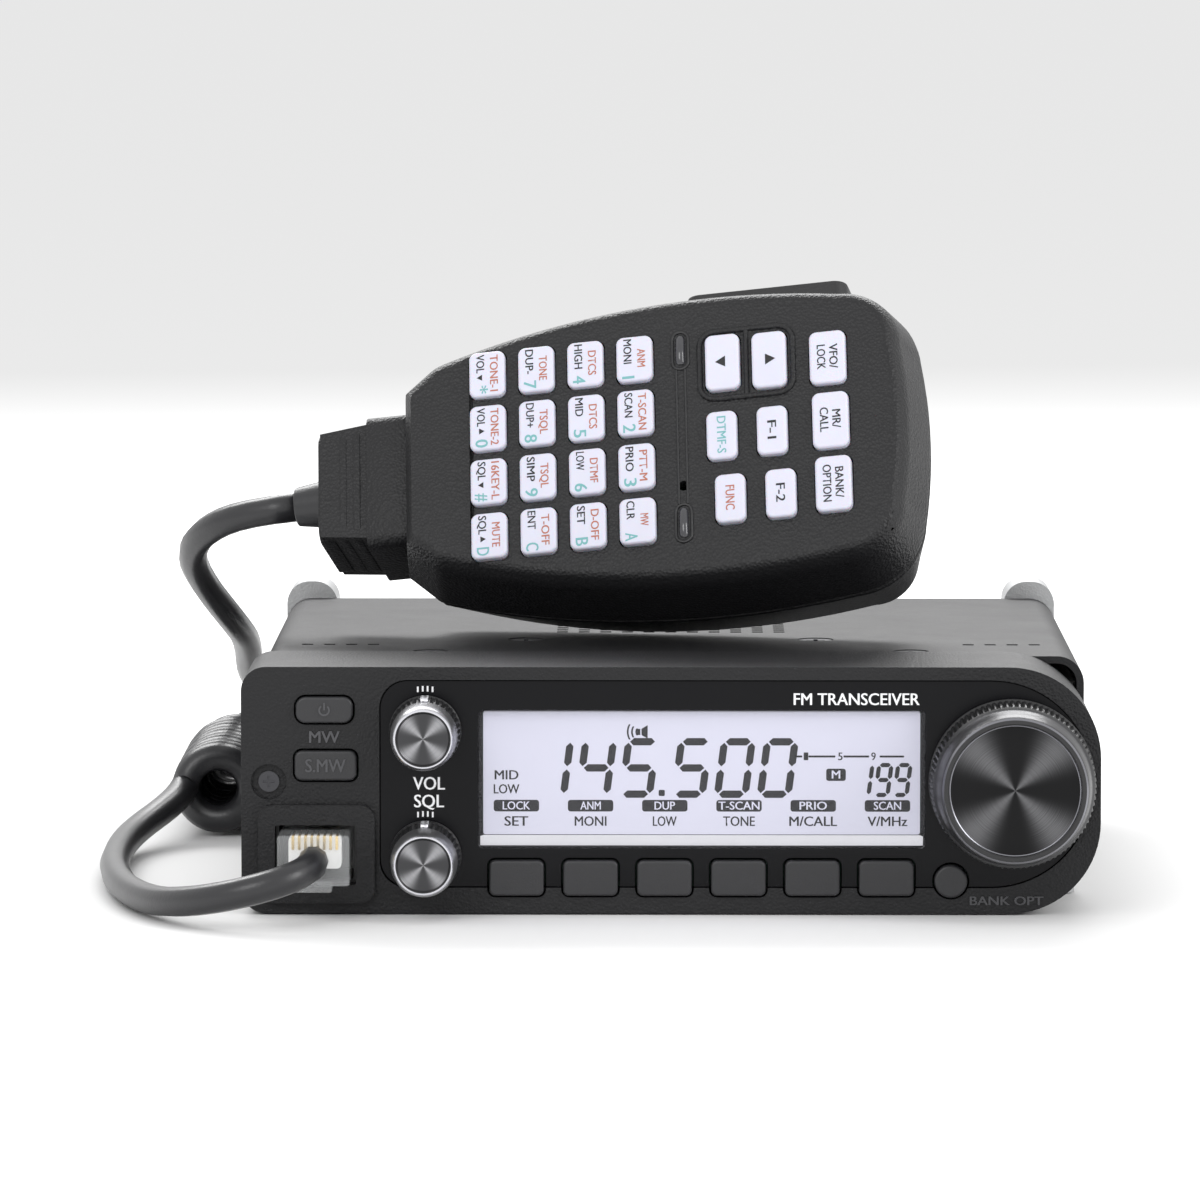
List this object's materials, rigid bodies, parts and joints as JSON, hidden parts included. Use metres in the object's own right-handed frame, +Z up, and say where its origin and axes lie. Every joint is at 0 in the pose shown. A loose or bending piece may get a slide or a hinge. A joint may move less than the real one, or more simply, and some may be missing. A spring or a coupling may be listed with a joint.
{
  "type": "mobile transceiver",
  "caption": "Mobile two-way radio with a display, tuning dial, knobs and keys, and a keypad hand microphone on a curly cord.",
  "frame": {"origin": "centre of the case's underside, midway between its front and rear faces", "axes": "+Z up, -Y out of the control panel, +X to the panel's right"},
  "size_m": [0.1666, 0.246, 0.1001],
  "materials": {
    "cast_aluminium": "cast and blasted",
    "cover_paint": "fine black powder coat",
    "screw_steel": "blackened",
    "panel_plastic": "leather grain",
    "face_plate_gloss": "gloss black",
    "clear_window": "clear",
    "lcd": "pale lavender backlight",
    "circuit_board": "green solder resist",
    "black_plastic": "moulded",
    "clear_plug": "clear moulded",
    "speaker_frame": "black",
    "nickel": "nickel plated",
    "knob_black": "satin, with a spun metal face",
    "mic_plastic": "pebble grain",
    "ptt_rubber": "satin",
    "cord_rubber": "satin",
    "panel_key": "moulded black",
    "mic_key": "lit from behind"
  },
  "bodies": {
    "radio": {"antenna_socket": "nickel", "case_screws": "screw_steel", "chassis": "cast_aluminium", "cord_coil": "cord_rubber", "cord_front_run": "cord_rubber", "cord_rear_run": "cord_rubber", "display_glass": "clear_window", "face_plate": "face_plate_gloss", "front_board": "circuit_board", "front_panel": "panel_plastic", "lcd_panel": "lcd", "main_board": "circuit_board", "mic_jack": "black_plastic", "microphone_plug": "clear_plug", "rear_sockets": "black_plastic", "speaker": "speaker_frame", "top_cover": "cover_paint"},
    "microphone": {"mic_front_case": "mic_plastic", "mic_rear_case": "mic_plastic", "mic_circuit_board": "circuit_board", "mic_cord_boot": "cord_rubber", "mic_hanger_stud": "nickel"},
    "mic_key_1a": {"mic_key_1a": "mic_key"},
    "mic_key_1b": {"mic_key_1b": "mic_key"},
    "mic_key_1c": {"mic_key_1c": "mic_key"},
    "mic_key_1d": {"mic_key_1d": "mic_key"},
    "mic_key_2a": {"mic_key_2a": "mic_key"},
    "mic_key_2b": {"mic_key_2b": "mic_key"},
    "mic_key_2c": {"mic_key_2c": "mic_key"},
    "mic_key_2d": {"mic_key_2d": "mic_key"},
    "mic_key_3a": {"mic_key_3a": "mic_key"},
    "mic_key_3b": {"mic_key_3b": "mic_key"},
    "mic_key_3c": {"mic_key_3c": "mic_key"},
    "mic_key_3d": {"mic_key_3d": "mic_key"},
    "mic_key_4a": {"mic_key_4a": "mic_key"},
    "mic_key_4b": {"mic_key_4b": "mic_key"},
    "mic_key_4c": {"mic_key_4c": "mic_key"},
    "mic_key_4d": {"mic_key_4d": "mic_key"},
    "mic_down_key": {"mic_down_key": "mic_key"},
    "mic_up_key": {"mic_up_key": "mic_key"},
    "mic_dtmf_key": {"mic_dtmf_key": "mic_key"},
    "mic_function_key": {"mic_function_key": "mic_key"},
    "mic_f1_key": {"mic_f1_key": "mic_key"},
    "mic_f2_key": {"mic_f2_key": "mic_key"},
    "mic_vfo_key": {"mic_vfo_key": "mic_key"},
    "mic_call_key": {"mic_call_key": "mic_key"},
    "mic_bank_key": {"mic_bank_key": "mic_key"},
    "ptt_bar": {"ptt_bar": "ptt_rubber"},
    "power_key": {"power_key": "panel_key"},
    "memory_key": {"memory_key": "panel_key"},
    "bank_key": {"bank_key": "panel_key"},
    "function_key_1": {"function_key_1": "panel_key"},
    "function_key_2": {"function_key_2": "panel_key"},
    "function_key_3": {"function_key_3": "panel_key"},
    "function_key_4": {"function_key_4": "panel_key"},
    "function_key_5": {"function_key_5": "panel_key"},
    "function_key_6": {"function_key_6": "panel_key"},
    "main_dial": {"main_dial": "knob_black"},
    "volume_knob": {"volume_knob": "knob_black"},
    "squelch_knob": {"squelch_knob": "knob_black"}
  },
  "joints": [
    {"name": "microphone_lift", "type": "slide", "parent": "radio", "child": "microphone", "axis": [0, 0, 1], "range_m": [0, 0.05]},
    {"name": "mic_key_1a_press", "type": "slide", "parent": "microphone", "child": "mic_key_1a", "axis": [0.2053, 0.8685, -0.4511], "range_m": [0, 0.0007], "stiffness_N_per_m": 300},
    {"name": "mic_key_1b_press", "type": "slide", "parent": "microphone", "child": "mic_key_1b", "axis": [0.2053, 0.8685, -0.4511], "range_m": [0, 0.0007], "stiffness_N_per_m": 300},
    {"name": "mic_key_1c_press", "type": "slide", "parent": "microphone", "child": "mic_key_1c", "axis": [0.2053, 0.8685, -0.4511], "range_m": [0, 0.0007], "stiffness_N_per_m": 300},
    {"name": "mic_key_1d_press", "type": "slide", "parent": "microphone", "child": "mic_key_1d", "axis": [0.2053, 0.8685, -0.4511], "range_m": [0, 0.0007], "stiffness_N_per_m": 300},
    {"name": "mic_key_2a_press", "type": "slide", "parent": "microphone", "child": "mic_key_2a", "axis": [0.2053, 0.8685, -0.4511], "range_m": [0, 0.0007], "stiffness_N_per_m": 300},
    {"name": "mic_key_2b_press", "type": "slide", "parent": "microphone", "child": "mic_key_2b", "axis": [0.2053, 0.8685, -0.4511], "range_m": [0, 0.0007], "stiffness_N_per_m": 300},
    {"name": "mic_key_2c_press", "type": "slide", "parent": "microphone", "child": "mic_key_2c", "axis": [0.2053, 0.8685, -0.4511], "range_m": [0, 0.0007], "stiffness_N_per_m": 300},
    {"name": "mic_key_2d_press", "type": "slide", "parent": "microphone", "child": "mic_key_2d", "axis": [0.2053, 0.8685, -0.4511], "range_m": [0, 0.0007], "stiffness_N_per_m": 300},
    {"name": "mic_key_3a_press", "type": "slide", "parent": "microphone", "child": "mic_key_3a", "axis": [0.2053, 0.8685, -0.4511], "range_m": [0, 0.0007], "stiffness_N_per_m": 300},
    {"name": "mic_key_3b_press", "type": "slide", "parent": "microphone", "child": "mic_key_3b", "axis": [0.2053, 0.8685, -0.4511], "range_m": [0, 0.0007], "stiffness_N_per_m": 300},
    {"name": "mic_key_3c_press", "type": "slide", "parent": "microphone", "child": "mic_key_3c", "axis": [0.2053, 0.8685, -0.4511], "range_m": [0, 0.0007], "stiffness_N_per_m": 300},
    {"name": "mic_key_3d_press", "type": "slide", "parent": "microphone", "child": "mic_key_3d", "axis": [0.2053, 0.8685, -0.4511], "range_m": [0, 0.0007], "stiffness_N_per_m": 300},
    {"name": "mic_key_4a_press", "type": "slide", "parent": "microphone", "child": "mic_key_4a", "axis": [0.2053, 0.8685, -0.4511], "range_m": [0, 0.0007], "stiffness_N_per_m": 300},
    {"name": "mic_key_4b_press", "type": "slide", "parent": "microphone", "child": "mic_key_4b", "axis": [0.2053, 0.8685, -0.4511], "range_m": [0, 0.0007], "stiffness_N_per_m": 300},
    {"name": "mic_key_4c_press", "type": "slide", "parent": "microphone", "child": "mic_key_4c", "axis": [0.2053, 0.8685, -0.4511], "range_m": [0, 0.0007], "stiffness_N_per_m": 300},
    {"name": "mic_key_4d_press", "type": "slide", "parent": "microphone", "child": "mic_key_4d", "axis": [0.2053, 0.8685, -0.4511], "range_m": [0, 0.0007], "stiffness_N_per_m": 300},
    {"name": "mic_down_key_press", "type": "slide", "parent": "microphone", "child": "mic_down_key", "axis": [0.2053, 0.8685, -0.4511], "range_m": [0, 0.0007], "stiffness_N_per_m": 300},
    {"name": "mic_up_key_press", "type": "slide", "parent": "microphone", "child": "mic_up_key", "axis": [0.2053, 0.8685, -0.4511], "range_m": [0, 0.0007], "stiffness_N_per_m": 300},
    {"name": "mic_dtmf_key_press", "type": "slide", "parent": "microphone", "child": "mic_dtmf_key", "axis": [0.2053, 0.8685, -0.4511], "range_m": [0, 0.0007], "stiffness_N_per_m": 300},
    {"name": "mic_function_key_press", "type": "slide", "parent": "microphone", "child": "mic_function_key", "axis": [0.2053, 0.8685, -0.4511], "range_m": [0, 0.0007], "stiffness_N_per_m": 300},
    {"name": "mic_f1_key_press", "type": "slide", "parent": "microphone", "child": "mic_f1_key", "axis": [0.2053, 0.8685, -0.4511], "range_m": [0, 0.0007], "stiffness_N_per_m": 300},
    {"name": "mic_f2_key_press", "type": "slide", "parent": "microphone", "child": "mic_f2_key", "axis": [0.2053, 0.8685, -0.4511], "range_m": [0, 0.0007], "stiffness_N_per_m": 300},
    {"name": "mic_vfo_key_press", "type": "slide", "parent": "microphone", "child": "mic_vfo_key", "axis": [0.2053, 0.8685, -0.4511], "range_m": [0, 0.0007], "stiffness_N_per_m": 300},
    {"name": "mic_call_key_press", "type": "slide", "parent": "microphone", "child": "mic_call_key", "axis": [0.2053, 0.8685, -0.4511], "range_m": [0, 0.0007], "stiffness_N_per_m": 300},
    {"name": "mic_bank_key_press", "type": "slide", "parent": "microphone", "child": "mic_bank_key", "axis": [0.2053, 0.8685, -0.4511], "range_m": [0, 0.0007], "stiffness_N_per_m": 300},
    {"name": "ptt_press", "type": "slide", "parent": "microphone", "child": "ptt_bar", "axis": [0.0205, -0.4646, -0.8853], "range_m": [0, 0.0015], "stiffness_N_per_m": 400},
    {"name": "power_key_press", "type": "slide", "parent": "radio", "child": "power_key", "axis": [0, 1, 0], "range_m": [0, 0.0008], "stiffness_N_per_m": 300},
    {"name": "memory_key_press", "type": "slide", "parent": "radio", "child": "memory_key", "axis": [0, 1, 0], "range_m": [0, 0.0008], "stiffness_N_per_m": 300},
    {"name": "bank_key_press", "type": "slide", "parent": "radio", "child": "bank_key", "axis": [0, 1, 0], "range_m": [0, 0.0008], "stiffness_N_per_m": 300},
    {"name": "function_key_1_press", "type": "slide", "parent": "radio", "child": "function_key_1", "axis": [0, 1, 0], "range_m": [0, 0.0008], "stiffness_N_per_m": 300},
    {"name": "function_key_2_press", "type": "slide", "parent": "radio", "child": "function_key_2", "axis": [0, 1, 0], "range_m": [0, 0.0008], "stiffness_N_per_m": 300},
    {"name": "function_key_3_press", "type": "slide", "parent": "radio", "child": "function_key_3", "axis": [0, 1, 0], "range_m": [0, 0.0008], "stiffness_N_per_m": 300},
    {"name": "function_key_4_press", "type": "slide", "parent": "radio", "child": "function_key_4", "axis": [0, 1, 0], "range_m": [0, 0.0008], "stiffness_N_per_m": 300},
    {"name": "function_key_5_press", "type": "slide", "parent": "radio", "child": "function_key_5", "axis": [0, 1, 0], "range_m": [0, 0.0008], "stiffness_N_per_m": 300},
    {"name": "function_key_6_press", "type": "slide", "parent": "radio", "child": "function_key_6", "axis": [0, 1, 0], "range_m": [0, 0.0008], "stiffness_N_per_m": 300},
    {"name": "main_dial_turn", "type": "hinge", "parent": "radio", "child": "main_dial", "pos_m": [0.0555, -0.073, 0.0217], "axis": [0, -1, 0], "continuous": true},
    {"name": "volume_knob_turn", "type": "hinge", "parent": "radio", "child": "volume_knob", "pos_m": [-0.04, -0.073, 0.0299], "axis": [0, -1, 0], "range_deg": [-150, 150]},
    {"name": "squelch_knob_turn", "type": "hinge", "parent": "radio", "child": "squelch_knob", "pos_m": [-0.04, -0.073, 0.0094], "axis": [0, -1, 0], "range_deg": [-150, 150]}
  ]
}
